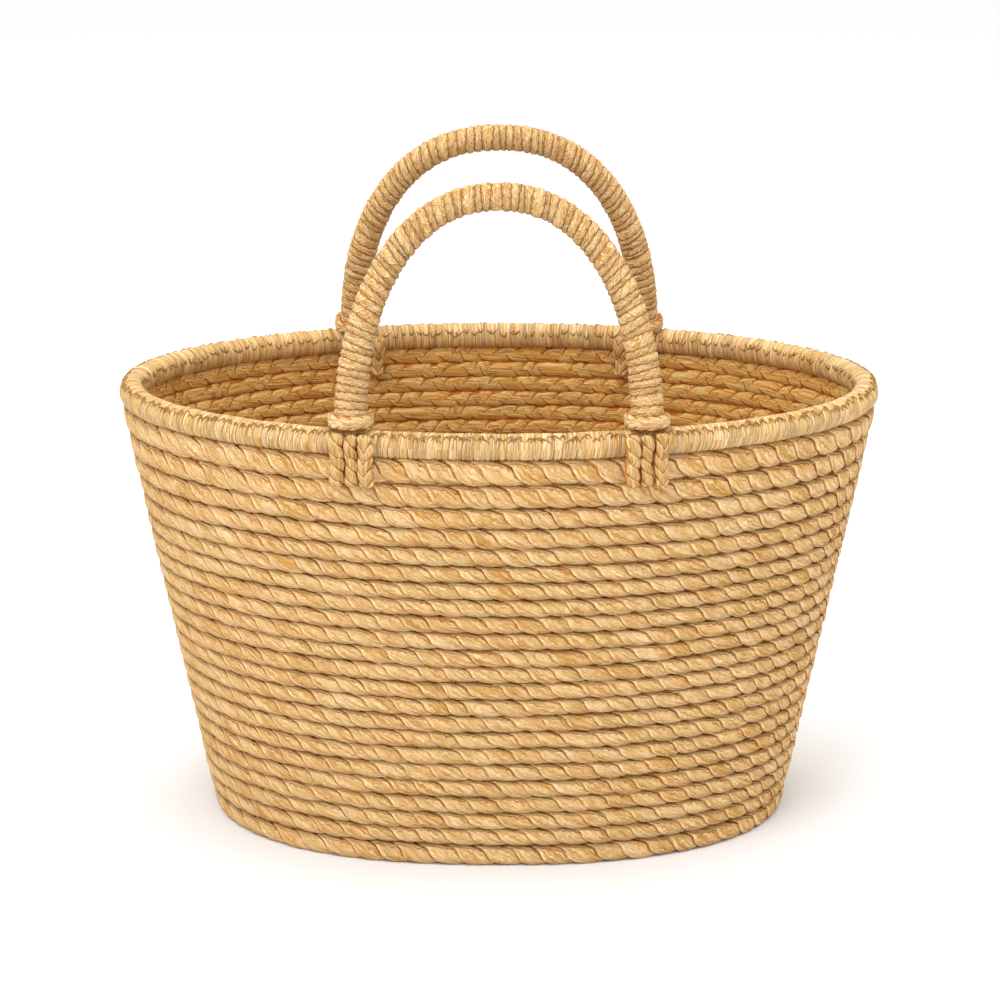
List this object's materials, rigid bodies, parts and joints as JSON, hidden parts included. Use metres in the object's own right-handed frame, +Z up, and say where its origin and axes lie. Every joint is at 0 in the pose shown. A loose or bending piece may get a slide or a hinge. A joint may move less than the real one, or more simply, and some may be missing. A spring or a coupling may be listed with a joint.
{
  "type": "straw basket bag",
  "caption": "Oval open-top basket bag of coiled straw rope, flaring to a wrapped rim, with arched wrapped handles tied over the rim.",
  "frame": {"origin": "centre of the base's underside, on the surface that the bag stands on", "axes": "+X along the bag's length, -Y to the front, +Z up out of the opening"},
  "size_m": [0.4, 0.2543, 0.3501],
  "materials": {
    "wall_straw": "twisted straw rope, matt",
    "rim_straw": "straw strips wrapped tight, slight sheen",
    "handle_straw": "straw cord wrapped over a core, slight sheen",
    "tie_straw": "twisted straw cord, matt"
  },
  "bodies": {
    "root": {"base": "wall_straw", "wall": "wall_straw", "rim": "rim_straw", "handle_front": "handle_straw", "handle_back": "handle_straw", "collar_front_left": "handle_straw", "collar_front_right": "handle_straw", "collar_back_left": "handle_straw", "collar_back_right": "handle_straw", "tie_front_left_outer_left": "tie_straw", "tie_front_left_outer_middle": "tie_straw", "tie_front_left_outer_right": "tie_straw", "tie_front_left_inner_left": "tie_straw", "tie_front_left_inner_right": "tie_straw", "tie_front_right_outer_left": "tie_straw", "tie_front_right_outer_middle": "tie_straw", "tie_front_right_outer_right": "tie_straw", "tie_front_right_inner_left": "tie_straw", "tie_front_right_inner_right": "tie_straw", "tie_back_left_outer_left": "tie_straw", "tie_back_left_outer_middle": "tie_straw", "tie_back_left_outer_right": "tie_straw", "tie_back_left_inner_left": "tie_straw", "tie_back_left_inner_right": "tie_straw", "tie_back_right_outer_left": "tie_straw", "tie_back_right_outer_middle": "tie_straw", "tie_back_right_outer_right": "tie_straw", "tie_back_right_inner_left": "tie_straw", "tie_back_right_inner_right": "tie_straw"}
  },
  "joints": []
}
